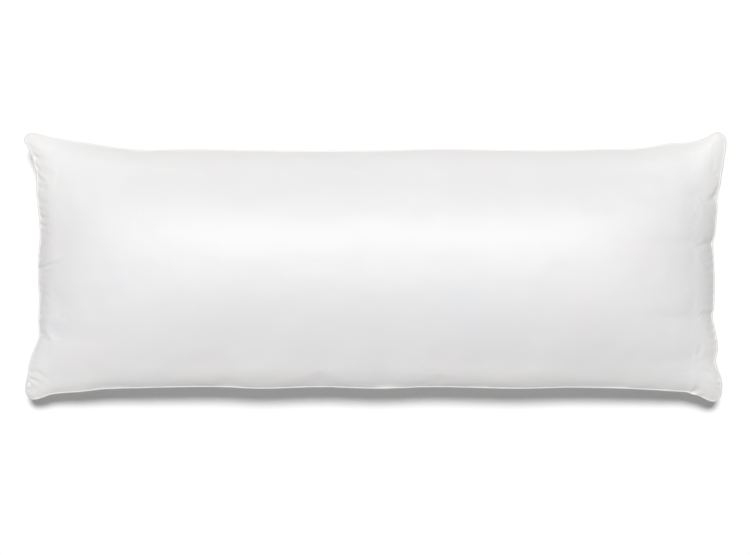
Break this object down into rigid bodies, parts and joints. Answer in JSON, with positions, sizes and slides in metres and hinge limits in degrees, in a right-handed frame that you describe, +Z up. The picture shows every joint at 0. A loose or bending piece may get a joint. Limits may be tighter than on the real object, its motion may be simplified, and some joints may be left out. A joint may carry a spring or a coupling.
{
  "type": "body pillow",
  "caption": "Long filled body pillow with a smooth cotton cover, crowned faces, drawn-in sides, corner ears and a knife-edge seam, lying on its back.",
  "frame": {"origin": "on the surface that the pillow lies on, below the middle of its outline", "axes": "+X along the pillow, +Y across it, +Z up through its crown"},
  "size_m": [1.302, 0.501, 0.171],
  "materials": {
    "cotton_cover": "matte"
  },
  "bodies": {
    "root": {"pillow": "cotton_cover"}
  },
  "joints": []
}
